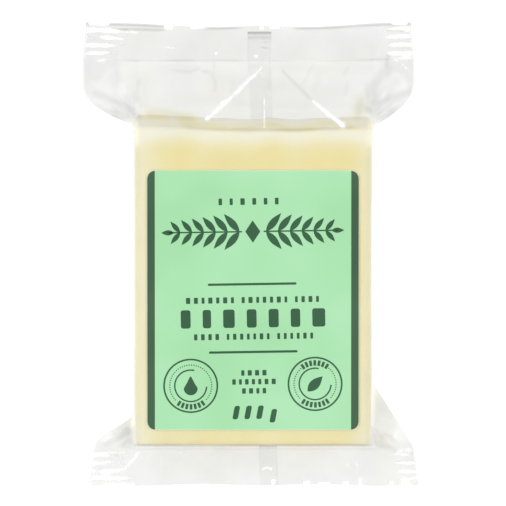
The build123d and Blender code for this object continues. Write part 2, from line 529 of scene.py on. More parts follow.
def quarterColumns():
    # one quarter of the film's way round, from the middle of the front to the middle of a
    # side: its x, how far it drops below the front, and its share of the way down the side
    radius = film["cornerRadius"]
    flat = np.linspace(0, filmHalfWidth - radius, film["panelColumns"] + 1)
    turn = np.linspace(0, np.pi / 2, film["cornerColumns"] + 1)[1:]
    side = np.linspace(0, 1, film["sideColumns"] + 1)[1:]
    x = np.concatenate([flat, flat[-1] + radius * np.sin(turn), np.full(len(side), filmHalfWidth)])
    drop = np.concatenate([0 * flat, radius * (1 - np.cos(turn)), np.full(len(side), radius)])
    share = np.concatenate([0 * flat, 0 * turn, side])
    return x, drop, share


def sealRipple(x, inSeal):
    # the crimp: ribs across the seal, deeper and more broken up towards its two ends
    outer = smoothStep(blockHigh[0] - 6, blockHigh[0] + 9, np.abs(x))
    broken = 0.6 + 0.4 * swell(x, inSeal * 14, 5, 7, 5, 14)
    depth = film["ribDepth"] * (0.45 + 1.5 * outer) * np.clip(broken, 0.1, 1.4)
    edges = smoothStep(0, 0.06, inSeal) * smoothStep(0, 0.05, 1 - inSeal)
    return depth * edges * np.sin(2 * np.pi * film["ribs"] * inSeal)


def bagGrid():
    # Half of the bag's ring for every row, from the left ear tip over the front to the right.
    # x is the sleeve's own plus the ear's reach times the share of the way down the side, y
    # passes from the front film's place to the tip's, and the wall, the height over the
    # middle level, is half the gap, less at the corner and closing to nothing at the tip.
    centre, leftTip, rightTip, inSeal = filmRows()
    quarterX, quarterDrop, quarterShare = quarterColumns()
    # one half of a ring, from the left tip over the front to the right tip
    sideSign = np.concatenate([-np.ones(len(quarterX) - 1), np.ones(len(quarterX))])[None]
    x0 = np.concatenate([-quarterX[:0:-1], quarterX])[None]
    drop = np.concatenate([quarterDrop[:0:-1], quarterDrop])[None]
    share = np.concatenate([quarterShare[:0:-1], quarterShare])[None]

    gap = halfGap(centre)
    flat = 1 - gap / halfHeight
    tipY = np.where(sideSign < 0, leftTip, rightTip)
    reach = np.where(sideSign < 0, earReach(leftTip, -1), earReach(rightTip, 1))
    x = x0 + sideSign * reach * share
    y = centre + (tipY - centre) * share
    # the seal's outer edge: a shallow arc with a slight wave
    tip = filmHalfWidth + halfHeight
    bow = np.where(centre > 0, -film["topSag"], film["bottomSag"]) * (1 - (x / tip) ** 2)
    wave = film["edgeWave"] * swell(x, 0 * x, 11, 5, 14, 45) * np.sign(centre)
    shift = bow + wave + film["edgeRise"] * (centre > 0)
    y = y + np.where(centre > 0, np.minimum(shift, 0), np.maximum(shift, 0)) * inSeal
    wall = gap * (1 - drop / halfHeight * (1 - flat) ** 2) * (1 - share) ** (1 + 0.7 * flat)
    return x, y, wall, share, flat, inSeal


def bagPoints():
    # The bag as one closed ring of film per row: front and back are the same half ring,
    # above and below the middle level, and meet at the ear tips and along the seal edges.
    # Folds and swells lift the film where it hangs loose. Along with the points go how white
    # (stress whitening and painted highlight), how much painted glint, how dark (haze and painted
    # shade) and how warm (painted reflection of the cheese) the film is at each.
    x, y, wall, share, flat, inSeal = bagGrid()
    loose = smoothStep(0.3, 5.0, wall + 2.5 * share * (flat > 0.02)) * smoothStep(0.0, 0.12, flat)
    loose = loose * (1 - smoothStep(0.0, 0.02, inSeal)) * smoothStep(0, 0.12, 1 - share)
    loose = loose * (0.35 + 0.65 * smoothStep(0, 4, wall + 1.5))
    twist = film["earTwist"] * smoothStep(34, 60, np.abs(x)) * np.sign(x * y)
    warp = film["warp"] * swell(x, y, 21, 5, 30, 80) + twist
    common = sealRipple(x, inSeal) + 0.5 * warp * smoothStep(0.35, 1.0, flat)
    beforeTip = smoothStep(1.0, 0.95, share)  # white marks end short of the tips

    layers = []
    marks = []
    for sign, seed in zip((1, -1), film["seeds"]):
        rise, white, dark = foldField(x, y, smallFolds(seed))
        dark *= 1 - smoothStep(0.0, 0.03, inSeal)
        if sign > 0:
            placedRise, placedWhite, placedDark = foldField(x, y, frontFolds)
            rise += placedRise
            white = np.maximum(white, placedWhite)
            dark = np.maximum(dark, placedDark)
        rise += film["unevenness"] * swell(x, y, seed + 7, 8, 9, 26)
        z = middleLevel + common + sign * (wall + rise * loose)
        layers.append(np.stack([x + sideFolds(x, y, z, share), y, z], axis=-1))
        dark += hangingHazeAndShade(x, y, inSeal, sign) + sealLines(x, y, inSeal, sign)
        dark += film["tipShade"] * smoothStep(film["tip"], 1.0, share)
        glinted = sealGlints(x, y, inSeal, seed)
        warm = filmWarmth(x, y, flat, seed, sign)
        marks.append(np.stack([white * beforeTip, glinted * beforeTip, dark, warm], axis=-1))
    ring, marked = [np.concatenate([front, back[:, -2:0:-1]], axis=1) for front, back in (layers, marks)]
    return clearOfCheese(ring), np.clip(marked, film["tipShade"], 1.2)


def filmWarmth(x, y, flat, seed, sign):
    # how far the film is tinted the cheese's colour: in the front sheet's patches, painted
    # reflections of the cheese, each broken up by small swells, and in faint clouds wherever it hangs off
    # the block
    patches = sum(strength * lineShape(x, y, places, width) for places, width, strength in paintedCheeseReflections)
    uneven = np.clip(0.9 + 0.3 * swell(x, y, 23, 6, 3, 9), 0, 1.3)
    clouds = smoothStep(0.05, 0.2, flat) * np.clip(swell(x, y, seed + 9, 6, 14, 34), 0, 1)
    return patches * uneven * (sign > 0) + film["cheeseTint"] * clouds


def hangingHazeAndShade(x, y, inSeal, sign):
    # How much the film darkens what lies behind it where it hangs free: its own grey haze, and
    # partly painted shade, set region by region. Beyond the block's ends it grows from its value
    # near the block to the taper's, then to the seal's, and beside the block to the ear's. The
    # back sheet has the taper's value from the start, and already a little way under the block.
    hazeAndShade = film["hazeAndShade"]
    outward = np.maximum(y - blockHigh[1], blockLow[1] - y)
    away = smoothStep(*hazeAndShade["grows"], outward) if sign > 0 else 1.0
    taper = hazeAndShade["near"] + (hazeAndShade["taper"] - hazeAndShade["near"]) * away
    ear, seal = [np.where(y > 0, hazeAndShade["top" + part], hazeAndShade["bottom" + part]) for part in ("Ear", "Seal")]
    end = taper + (seal - taper) * smoothStep(0.0, 0.1, inSeal)
    out = np.abs(x) - filmHalfWidth
    besideTop, besideBottom = [smoothStep(*hazeAndShade[part], out) for part in ("besideTop", "besideBottom")]
    beside = np.where(y > 0, besideTop, besideBottom)
    begin = hazeAndShade["begins"][sign > 0]
    return np.maximum(end * smoothStep(begin, begin + 1.2, outward), ear * beside)


def sideFolds(x, y, z, share):
    # the film beside the block stands off it in shallow folds that run in from both ends
    side = np.sign(x)
    onSide = smoothStep(0.02, 0.3, share) * smoothStep(1.5, 0.3, np.abs(x) - filmHalfWidth)
    near = smoothStep(8, 50, np.abs(y - 4))
    tent = np.abs(np.sin(z * 0.42 + 0.05 * y * np.sign(y) + swell(y, z, 19, 4, 15, 45) + side))
    return side * onSide * near * film["sideFolds"] * (1 - tent) ** 1.5


def sealGlints(x, y, inSeal, seed):
    # how white a seal is painted with glints: painted highlights in bands along its ribs at the
    # two ends, and in short nicks along its outer edge
    ragged = glintLook["ragged"] * swell(x * 0.4, inSeal * 26, seed + 5, 8, 3, 9)
    beyond = np.abs(x) - blockHigh[0] + ragged - glintLook["shorter"] * ((x > 0) & (y < 0))
    outer = smoothStep(glintLook["begins"], glintLook["full"], beyond)
    phase = 0.9 + 0.5 * swell(x, 0 * x, seed + 6, 4, 20, 60)
    bands = 0.5 + 0.5 * np.sin(2 * np.pi * film["ribs"] * inSeal + phase)
    bands = bands + glintLook["broken"] * swell(x * 0.6, inSeal * 22, seed + 8, 9, 2.5, 7)
    inside = smoothStep(0.03, 0.12, inSeal) * smoothStep(-0.01, 0.04, 1 - inSeal)
    glinting = glintLook["bands"] * outer * bands * inside
    fromEdge = (1 - inSeal) * (topEdge - topSealStart)
    for end, side in (("top", 1), ("bottom", -1)):
        here = (side * y > 0) & (inSeal > 0)
        for place, halfWidth, depth in nicks[end]:
            along = smoothStep(halfWidth + 0.4, halfWidth - 0.4, np.abs(x - place))
            inward = smoothStep(depth + 0.5, depth - 0.3, fromEdge)
            glinting = np.maximum(glinting, glintLook["nicks"] * along * inward * here)
    return glinting


def sealLines(x, y, inSeal, sign):
    # the painted shade along the top seal's inner edge and its outer edge, each a narrow bell
    # across the line and broken up along it; only the front sheet carries them
    depth = inSeal * (topEdge - topSealStart)
    fromEdge = (1 - inSeal) * (topEdge - topSealStart)
    wander = 0.35 + 0.35 * swell(x, 0 * x, 13, 5, 18, 60)
    inner = np.exp(-((depth - wander) / 0.4) ** 2) * (inSeal > 0)
    inner = inner * np.clip(0.55 + 0.5 * swell(x, 0 * x, 14, 6, 12, 60), 0, 1)
    rim = np.exp(-((fromEdge - 0.7) / 0.4) ** 2)
    rim = rim * smoothStep(-0.4, 0.5, swell(x, 0 * x, 15, 5, 25, 90))
    return (film["sealLine"] * inner + film["rimLine"] * rim) * (y > 0) * (sign > 0)


def clearOfCheese(points):
    # pushes any point that lies in the cheese out to the film's clearance: the cheese is a
    # box with rounded edges, and its distance is that of its inner box less the radius
    middle = (blockLow + blockHigh) / 2
    radius = film["cornerRadius"]
    inner = (blockHigh - blockLow) / 2 + film["clearance"] - radius
    offset = points - middle
    beyond = np.clip(np.abs(offset) - inner, 0, None) * np.sign(offset)
    distance = np.linalg.norm(beyond, axis=-1, keepdims=True)
    inside = (distance < radius) & (distance > 1e-6)
    fixed = offset - beyond + beyond / np.maximum(distance, 1e-6) * radius
    return middle + np.where(inside, fixed, offset)


def makeBag():
    points, marks = bagPoints()
    rows, columns = points.shape[:2]
    faces = loopFaces(rows, columns).tolist()
    # each end is closed by a strip between the front edge and the back edge
    half = columns // 2
    step = np.arange(half)
    corners = np.stack([step, step + 1, columns - step - 1, (columns - step) % columns], axis=-1)
    for row, flipped in ((0, False), (rows - 1, True)):
        strip = row * columns + (corners[:, ::-1] if flipped else corners)
        # the first and last of a strip have only three corners
        faces += [list(dict.fromkeys(face)) for face in strip.tolist()]
    bag = meshFrom("filmBag", points.reshape(-1, 3), faces)
    for column, name in enumerate(("creaseWhiteAndHighlight", "glinted", "shaded", "warmed")):
        storeValues(bag, name, marks[..., column])
    return bag, points


def filmMaterial(name, tint, least, most):
    # Clear film. Light passes with a faint tint, turned towards the cheese's colour where the
    # sheet is marked warm, a painted reflection of the cheese, and less of it where the sheet
    # tilts steeply, a painted shade, or is marked shaded; below nothing, that mark lets more
    # pass, as painted light. A mirror share is added: face on it runs from least, where the sheet
    # clings to the cheese, to most, and it grows with the fifth power of the slant. Marks turn it
    # white: the crease mark in fine crumbs, stress whitening and painted highlight, the glint mark
    # in short streaks along X, painted glints, each where a noise plus the mark passes a threshold.
    material, tree = newMaterial(name)
    place = objectPlace(tree)
    bump = bumped(tree, noise(tree, place, 300), 0.3, 0.0002)
    slant = addNode(tree, "ShaderNodeLayerWeight", Blend=0.5).outputs["Facing"]

    shade = stored(tree, "shaded")
    tilted = stretch(tree, slant, 0.22, 0.7, 0.0, filmLook["steepShade"])
    steep = mathNode(tree, "MULTIPLY", tilted, stretch(tree, slant, 0.6, 0.85, 1.0, 0.0))
    patches = filmLook["patches"]
    patchy = stretch(tree, noise(tree, place, 75), 0.3, 0.7, -patches, patches)
    dim = mathNode(tree, "ADD", shade, steep, patchy)
    passed = blendColours(tree, stored(tree, "warmed"), tint, filmLook["warmTint"])
    clear = addNode(tree, "ShaderNodeBsdfTransparent")
    join(tree, blendColours(tree, dim, passed, filmLook["shadeTint"]), clear.inputs["Color"])
    shine = addNode(tree, "ShaderNodeBsdfGlossy", Roughness=filmLook["roughness"])
    join(tree, bump, shine.inputs["Normal"])
    faceOn = stretch(tree, shade, 0.0, film["hazeAndShade"]["near"], least, most)
    grazing = mathNode(tree, "MULTIPLY", mathNode(tree, "POWER", slant, 5.0), filmLook["edgeShine"])
    sheet = mixShaders(tree, mathNode(tree, "ADD", faceOn, grazing), clear, shine)

    # the white marks glow a little: painted light that stands in for the light they scatter from behind
    milky = principled(tree, {"Normal": bump}, Base_Color=(0.98, 0.98, 0.98, 1), Roughness=0.3,
                       Emission_Color=(1, 1, 1, 1), Emission_Strength=filmLook["glow"])
    crumbs = stretch(tree, noise(tree, place, filmLook["crumbScale"]), 0.3, 0.7, 0.0, 0.5)
    drawn = addNode(tree, "ShaderNodeMapping", Scale=filmLook["streakScale"])
    join(tree, place, drawn.inputs["Vector"])
    streaks = stretch(tree, noise(tree, drawn.outputs[0], 1.0, 4.0, 0.6), 0.3, 0.7, 0.0, 1.0)
    whites = []
    for mark, pattern, low, high in (("creaseWhiteAndHighlight", crumbs, 0.55, 1.1), ("glinted", streaks, 1.0, 1.4)):
        over = mathNode(tree, "ADD", stored(tree, mark), pattern)
        whites.append(stretch(tree, over, low, high, 0.0, 0.95))
    finishMaterial(tree, mixShaders(tree, mathNode(tree, "MAXIMUM", *whites), sheet, milky))
    return material


bag, bagShape = makeBag()
bag.data.materials.append(filmMaterial("clearFilm", (0.985, 0.99, 0.989), 0.03, 0.048))
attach(bag, "root")
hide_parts("film_bag")
print("film bag", bagShape.shape)


seam = {
    # its width and the place of its middle line, at the bottom edge and at the top edge
    "width": (6.2, 8.2),
    "middle": (5.8, 2.1),
    "topEnd": 86.8,  # where the flap ends, short of the seal's edge
    "offset": 0.1,
    "lowest": 0.03,  # its underside stays this far over the floor
    "thickness": 0.06,
    "columns": 20,
    "wander": 0.35,  # how far it strays to either side
    "length": 162,  # and over what length
    "sideShade": (0.04, 0.45),  # the painted shade along its two sides, and how far in
    "dashes": ((0.5, 0.45), (2.2, 0.14)),  # how far in from its loose end, how dark
    "dashWidth": 0.5,
    "taperShade": -0.09,  # painted light where it runs down the top taper, taking back the steep shade there
}


def makeSeam():
    # the lapped seam: a flat ribbon that follows the back film, just outside it, and
    # wanders from side to side between the two ends
    ring = bagShape.shape[1]
    back = bagShape[:, ring // 2 + 1:][:, ::-1]
    back = back[back[:, back.shape[1] // 2, 1] < seam["topEnd"]]
    along = (back[:, :1, 1] - bottomEdge) / (topEdge - bottomEdge)
    width, middle = [low + (high - low) * along for low, high in (seam["width"], seam["middle"])]
    middle = middle + seam["wander"] * swell(0 * along, along * seam["length"], 55, 4, 40, 120)
    x = middle + np.linspace(-0.5, 0.5, seam["columns"] + 1)[None] * width
    panel = np.abs(back[0, :, 0]) < filmHalfWidth - film["cornerRadius"]
    lineX = back[0, panel, 0]
    spot = np.clip(np.searchsorted(lineX, x) - 1, 0, len(lineX) - 2)
    share = ((x - lineX[spot]) / (lineX[spot + 1] - lineX[spot]))[..., None]
    rows = np.arange(len(back))[:, None]
    low = back[:, panel][rows, spot]
    high = back[:, panel][rows, spot + 1]
    upper = low + (high - low) * share
    upper[..., 2] = np.maximum(upper[..., 2] - seam["offset"], seam["lowest"] + seam["thickness"])
    lower = upper - np.array([0, 0, seam["thickness"]])
    points = np.concatenate([upper, lower[:, ::-1]], axis=1)
    rowCount, columnCount = points.shape[:2]
    faces = loopFaces(rowCount, columnCount)[:, ::-1].tolist()
    ends = np.arange(columnCount)
    faces += [ends.tolist(), (ends[::-1] + (rowCount - 1) * columnCount).tolist()]
    piece = meshFrom("backSeam", points.reshape(-1, 3), faces, smooth=False)
    # painted shade along its two sides, darker in two dashes at its loose end, and painted light in the
    # taper
    fromSide = 0.5 * width - np.abs(points[..., 0] - middle)
    fromEnd = seam["topEnd"] - points[..., 1]
    sideShade, sideWidth = seam["sideShade"]
    shaded = sideShade * np.exp(-(fromSide / sideWidth) ** 2)
    for dash, shade in seam["dashes"]:
        shaded += shade * np.exp(-((fromEnd - dash) / seam["dashWidth"]) ** 2)
    inTaper = smoothStep(topSealStart, topSealStart - 2, points[..., 1]) * (points[..., 1] > 0)
    storeValues(piece, "shaded", shaded + seam["taperShade"] * inTaper)
    return piece


ribbon = makeSeam()
ribbon.data.materials.append(filmMaterial("seamFilm", (0.985, 0.985, 0.985), 0.02, 0.03))
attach(ribbon, "root")
print("back seam")


cheese = {
    "cell": 1.15,
    "edgeRadius": 1.9,
    "dents": 0.14,
    "nicks": 0.25,  # along the edges
    "inset": 0.04,
    "bow": 1.1,
    "bowMiddle": 8,
    "bowWave": 0.3,
    # how pale the front is painted at its top, left, right and bottom edges, a painted highlight, and how
    # far in that reaches
    "paleToneAndHighlight": ((1.1, 4.7), (0.6, 8), (0.5, 6), (0.2, 9)),
    "paleEnd": (0.5, 1.25),  # painted light on the top end, at its front and at its back, where it gets less light
    "paleCorners": 0.5,  # painted light added at the top end's corners and on its left half
    "paleLeft": 0.6,
    "paleUneven": (0.2, 0.05),  # on the top end, and everywhere
    "creams": (linear(245, 230, 163), linear(248, 235, 176)),
    "paleCream": linear(255, 250, 228),
}


def roundedBox(half, radius, cell):
    # The surface of a box whose edges are rounded: each point of a gridded cube is drawn in
    # to the inner box, then set one radius out from it along the line to where it was.
    points = []
    faces = []
    for axis in range(3):
        a, b = (axis + 1) % 3, (axis + 2) % 3
        counts = [max(4, int(round(2 * half[k] / cell))) for k in (a, b)]
        u, v = np.meshgrid(*[np.linspace(-1, 1, n + 1) for n in counts], indexing="ij")
        for side in (-1, 1):
            grid = np.zeros((*u.shape, 3))
            grid[..., axis] = side * half[axis]
            grid[..., a] = u * half[a]
            grid[..., b] = v * half[b]
            index = np.arange(u.size).reshape(u.shape) + sum(len(p) for p in points)
            quads = gridQuads(index)
            faces.append(quads[:, ::-1] if side > 0 else quads)
            points.append(grid.reshape(-1, 3))
    points = np.concatenate(points)
    unique, back = np.unique(np.round(points, 5), axis=0, return_inverse=True)
    inner = np.clip(unique, -(half - radius), half - radius)
    out = unique - inner
    normal = out / np.linalg.norm(out, axis=1, keepdims=True)
    return inner + radius * normal, normal, back.reshape(-1)[np.concatenate(faces)]


def makeCheese():
    # A cut block: flat faces with slow hollows, nicked edges, and a top end that bows in
    # towards the front. By the edges it is painted paler, most of all along the top end: painted
    # highlight along the front's edges and painted light on the top end, over a little uneven pale tone.
    half = (blockHigh - blockLow) / 2 - cheese["inset"]
    points, normal, faces = roundedBox(half, cheese["edgeRadius"], cheese["cell"])
    points = points + (blockLow + blockHigh) / 2
    x, y, z = points.T.copy()
    hollow = 0.5 + 0.25 * (swell(x, y, 61, 6, 18, 60) + swell(y, z * 1.5, 62, 6, 14, 40))
    onEdge = np.abs(normal).max(axis=1) < 0.97
    nick = np.clip(swell(x + z, y - z, 63, 10, 5, 15) - 0.9, 0, 1) * onEdge
    depth = cheese["dents"] * np.clip(hollow, 0, 1) + cheese["nicks"] * nick
    points = points - normal * depth[:, None]
    across = np.clip(1 - ((x - cheese["bowMiddle"]) / (blockHigh[0] + 2)) ** 2, 0, 1)
    bow = (cheese["bow"] + cheese["bowWave"] * swell(x, 0 * x, 65, 4, 14, 40)) * across
    points[:, 1] -= bow * smoothStep(30, blockHigh[1], y) * (1.3 - 0.3 * smoothStep(2, 28, z))
    piece = meshFrom("cheeseBlock", points, faces.tolist())
    depths = (blockHigh[1] - bow - y, x - blockLow[0], blockHigh[0] - x, y - blockLow[1])
    front = sum(most * np.exp(-(depth / length) ** 2)
                for depth, (most, length) in zip(depths, cheese["paleToneAndHighlight"]))
    nearEnd, farEnd = cheese["paleEnd"]
    endUneven, uneven = cheese["paleUneven"]
    end = nearEnd + (farEnd - nearEnd) * smoothStep(26, 6, z)
    end += endUneven * swell(x, z * 0.6, 66, 6, 8, 30)
    end += cheese["paleCorners"] * smoothStep(33, 38, np.abs(x))
    end += cheese["paleLeft"] * smoothStep(-14, -30, x) * smoothStep(8, 20, z)
    onEnd = smoothStep(0.3, 0.7, normal[:, 1])
    # painted highlight near the front's edges and painted light on the top end, plus a little uneven pale
    # tone
    paleToneAndHighlight = end * onEnd + front * (z > blockHigh[2] - 4) * (1 - onEnd)
    paleToneAndHighlight = paleToneAndHighlight + uneven * swell(x, y, 64, 5, 12, 40)
    storeValues(piece, "paleToneAndHighlight", np.clip(paleToneAndHighlight, 0, 1))
    return piece


def cheeseMaterial():
    # pale creamy cheese: two creams blended by broad clouds, turned to a paler cream where
    # the surface is marked with painted highlight and pale tone, flecked by a fine grain, a little
    # light scattered under the surface, and a waxy sheen that varies with the clouds
    material, tree = newMaterial("creamyCheddar")
    place = objectPlace(tree)
    clouds = noise(tree, place, 34, 4.0, 0.55)
    grain = noise(tree, place, 900, 3.0, 0.6)
    shares = [mathNode(tree, "MULTIPLY", *pair) for pair in ((clouds, 0.8), (grain, 0.2))]
    blended = stretch(tree, mathNode(tree, "ADD", *shares), 0.25, 0.75, 0, 1)
    creams = blendColours(tree, blended, *cheese["creams"])
    colour = blendColours(tree, stored(tree, "paleToneAndHighlight"), creams, cheese["paleCream"])
    bump = bumped(tree, mathNode(tree, "ADD", grain, noise(tree, place, 160)), 0.3, 0.0003)
    sheen = stretch(tree, clouds, 0.3, 0.7, 0.38, 0.55)
    body = principled(tree, {"Base Color": colour, "Roughness": sheen, "Normal": bump},
                      Subsurface_Weight=0.15, Subsurface_Scale=0.0005,
                      Subsurface_Radius=(1.0, 0.75, 0.4), Specular_IOR_Level=0.4)
    finishMaterial(tree, body)
    return material


block = makeCheese()
block.data.materials.append(cheeseMaterial())
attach(block, "root")
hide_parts("cheese_block")
print("cheese block", len(block.data.polygons))


label = {
    "cornerRadius": 2.9,
    "thickness": 0.07,
    "inkDepth": 0.02,  # the printed fields stand this far over the white stock
    "margin": 0.13,  # and stop this far short of its cut edge
    "stripWidth": 2.75,
    "cell": 1.0,
    "wave": 0.01,  # how uneven it lies
}
inks = {
    # each layer's colour, as two near shades
    "labelPaper": (linear(238, 247, 232), linear(246, 251, 240)),
    "mintInk": (linear(168, 227, 173), linear(180, 235, 187)),
    "forestInk": (linear(61, 94, 66), linear(71, 104, 76)),
}
labelMiddle = (labelLow + labelHigh) / 2
labelHalf = (labelHigh - labelLow) / 2
labelBase = filmTop + 0.02


def labelLevel(x, y):
    # the label's top: it lies on the film, with a slow and very slight unevenness
    return labelBase + label["thickness"] + label["wave"] * swell(x, y, 71, 6, 20, 60)


def roundedOutline(halfWidth, halfLength, radius, steps):
    # a rounded rectangle, as four quarter turns joined by straight sides
    turn = np.linspace(0, np.pi / 2, steps + 1)
    corners = []
    for quarter, signs in enumerate(((1, 1), (-1, 1), (-1, -1), (1, -1))):
        middle = np.array(signs) * (halfWidth - radius, halfLength - radius)
        corners.append(middle + radius * rayAt(turn + quarter * np.pi / 2))
    return np.concatenate(corners)


def labelField(name, low, high, margin, depth, ink):
    # One layer of the label between two values of x: a grid whose columns reach the label's
    # rounded outline less a margin, closed below at the film. Its top lies at a depth under
    # the label's own. Flat shading keeps its thin rim from darkening it.
    radius = label["cornerRadius"] - margin
    half = labelHalf - margin
    columns = max(6, int((high - low) / label["cell"] * 2))
    rows = int(2 * half[1] / label["cell"])
    across = low + (high - low) * (0.5 - 0.5 * np.cos(np.pi * np.linspace(0, 1, columns + 1)))
    inCorner = np.clip(radius - (half[0] - np.abs(across)), 0, radius)
    reach = half[1] - radius + np.sqrt(radius ** 2 - inCorner ** 2)
    along = np.linspace(-1, 1, rows + 1)
    x = np.broadcast_to(across, (rows + 1, columns + 1))
    y = along[:, None] * reach[None]
    top = np.stack([x, y + labelMiddle[1], labelLevel(x, y) - depth], axis=-1)
    bottom = top.copy()
    bottom[..., 2] = labelBase
    index = np.arange(x.size).reshape(x.shape)
    quads = gridQuads(index)
    rim = np.concatenate([index[0, :-1], index[:-1, -1], index[-1, :0:-1], index[:0:-1, 0]])
    following = np.roll(rim, -1)
    wall = np.stack([following, following + x.size, rim + x.size, rim], axis=-1)
    faces = np.concatenate([quads, quads[:, ::-1] + x.size, wall])
    points = np.concatenate([top.reshape(-1, 3), bottom.reshape(-1, 3)])
    piece = meshFrom(name, points, faces.tolist(), smooth=False)
    piece.data.materials.append(labelMaterial(ink, *inks[ink]))
    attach(piece, "root")
    return piece


def labelMaterial(name, low, high):
    # satin label stock: two near shades blended by soft clouds, the lighter ones partly painted highlight
    # patches and partly uneven tone, with a fine fibre in the bump
    material, tree = newMaterial(name)
    place = objectPlace(tree)
    clouds = stretch(tree, noise(tree, place, 28, 2.0), 0.35, 0.65, 0, 1)
    fibre = noise(tree, place, 1500, 3.0, 0.7)
    body = principled(tree, {
        "Base Color": blendColours(tree, clouds, low, high),
        "Roughness": stretch(tree, fibre, 0.3, 0.7, 0.4, 0.55),
        "Normal": bumped(tree, fibre, 0.12, 0.0001),
    }, Specular_IOR_Level=0.35)
    finishMaterial(tree, body)
    return material


edge = labelHalf[0]
inkEdge = edge - label["margin"]
strip = edge - label["stripWidth"]
stock = labelField("labelStock", -edge, edge, 0, label["inkDepth"], "labelPaper")
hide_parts("label")
for name, low, high, ink in (
        ("labelField", -strip, strip, "mintInk"),
        ("labelStripLeft", -inkEdge, -strip, "forestInk"),
        ("labelStripRight", strip, inkEdge, "forestInk")):
    labelField(name, low, high, label["margin"], 0, ink)
print("label")


printed = {
    "lift": 0.03,  # the ink's height over the label
    "sink": 0.02,  # and how far it reaches down into it
    "skew": 0.9,  # degrees that the print is turned on the label
    "ink": (linear(48, 92, 62), linear(56, 100, 70)),
}
rules = {"places": [(-0.2, 5.67), (-0.2, -18)], "width": 30.6, "height": 0.8, "radius": 0.38}
words = [
    # middle, blocks in each word, width, height, gap, space between words, corner, seed
    ((-1, 34.5), [6], 20.7, 2.3, 2.65, 0, 0.25, 81),
    ((-0.2, 0.15), [7, 7, 4], 45.9, 2.1, 1.3, 2.7, 0.25, 82),
    ((-0.1, -6.3), [7], 49.9, 6.4, 4.2, 0, 0.8, 83),
    ((0, -12.6), [4, 7, 6], 41.1, 2.1, 1.3, 2.7, 0.25, 84),
    ((-0.1, -25.3), [4], 8.7, 1.9, 1.15, 0, 0.25, 85),
    ((-0.1, -28.4), [7], 15, 1.9, 1.15, 0, 0.25, 86),
    ((-0.1, -31.6), [4], 8.3, 1.9, 1.15, 0, 0.25, 87),
]
leaningBars = {
    "places": [(-6.4, -39.1), (-2.3, -39.1), (1.8, -39.1), (6.4, -40.4)],
    "width": 1.9, "height": 4.7, "radius": 0.7, "lean": 0.2,
}
sprig = {
    "middle": (0.3, 24),
    "lozenge": (2.6, 3.9),  # its half width and half height
    "pairs": 6,
    "first": 4.6,  # from the middle to the first pair of leaves
    "step": 4.1,
    "spread": 50,  # degrees between a leaf and the stalk
    "length": (8.2, 0.62),  # of the first leaf, and what each next one loses
    "width": (2.5, 0.16),
    "endLeaf": (27.2, 4.4, 1.8),  # from the middle to its base, its length and its width
    "stalk": (16.4, 25.4, 0.5, 0.24),  # from the middle, its length, thickness and corner
}
badges = {
    "left": (-22, -29.5),
    "right": (21, -29.5),
    "outerRing": (9.2, 0.58),  # radius and width
    "innerRing": (5.5, 0.5, 76, 356),  # and the angles it runs between
    "blockReach": 7.35,  # from the badge's middle
    "blockHalf": (0.95, 0.45),
    "blocks": (7, 34),  # their number, and the degrees to either side
    "dotReach": 7.25,
    "dotSize": (0.42, 0.42, 0.2),  # width, height and corner
    "dropSize": 2.4,
    "leafSize": (7.4, 3.4),
}


class Ink:
    # gathers flat shapes, then makes them one mesh that lies on the label
    def __init__(self):
        self.points = []
        self.faces = []
        self.count = 0

    def slab(self, flat, lids, rim):
        # a flat shape with a lid, a base and a wall between them: lids are its faces and
        # rim the pairs of neighbours along its edge, both anticlockwise
        n = len(flat)
        self.points.append(np.column_stack([np.tile(flat, (2, 1)), np.repeat([1, 0], n)]))
        wall = np.column_stack([rim + n, rim[:, ::-1]])
        for faces in (lids, lids[:, ::-1] + n, wall):
            self.faces += (faces + self.count).tolist()
        self.count += 2 * n

    def outline(self, points):
        # a closed flat shape with one face
        order = np.arange(len(points))
        self.slab(points, order[None], np.column_stack([order, np.roll(order, -1)]))

    def ring(self, middle, radius, width, start=0.0, stop=360.0, steps=96):
        # a flat band along an arc; a whole turn closes on itself
        whole = stop - start >= 360
        turn = np.linspace(start, stop, steps + 1)[:steps if whole else None]
        n = len(turn)
        ray = rayAt(np.radians(turn))
        edges = [np.array(middle) + ray * (radius + side * width / 2) for side in (-1, 1)]
        here = np.arange(n if whole else n - 1)
        after = (here + 1) % n
        lids = np.column_stack([here, here + n, after + n, after])
        rim = [np.column_stack([here + n, after + n]), np.column_stack([after, here])]
        if not whole:
            rim.append([[0, n], [2 * n - 1, n - 1]])
        self.slab(np.concatenate(edges), lids, np.concatenate(rim))

    def make(self, name):
        flat = np.concatenate(self.points)
        x, y = turned(flat[:, :2], np.radians(printed["skew"])).T
        z = labelLevel(x, y) + np.where(flat[:, 2] > 0.5, printed["lift"], -printed["sink"])
        points = np.stack([x, y + labelMiddle[1], z], axis=-1)
        piece = meshFrom(name, points, self.faces, smooth=False)
        piece.data.materials.append(labelMaterial(name + "Ink", *printed["ink"]))
        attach(piece, "root")


def bar(middle, width, height, radius, lean=0.0):
    # a small block with rounded corners
    points = roundedOutline(width / 2, height / 2, min(radius, width / 2.01, height / 2.01), 4)
    points[:, 0] += points[:, 1] * lean
    return points + np.array(middle)


def wordBars(ink, middle, counts, width, height, gap, space, radius, seed):
    # a line of small blocks in groups, in place of words: uneven widths, even gaps
    rng = np.random.default_rng(seed)
    sizes = [rng.uniform(0.75, 1.25, n) for n in counts]
    gaps = sum(n - 1 for n in counts) * gap + (len(counts) - 1) * space
    scale = (width - gaps) / sum(s.sum() for s in sizes)
    x = middle[0] - width / 2
    for group in sizes:
        for size in group * scale:
            ink.outline(bar((x + size / 2, middle[1]), size, height, radius))
            x += size + gap
        x += space - gap


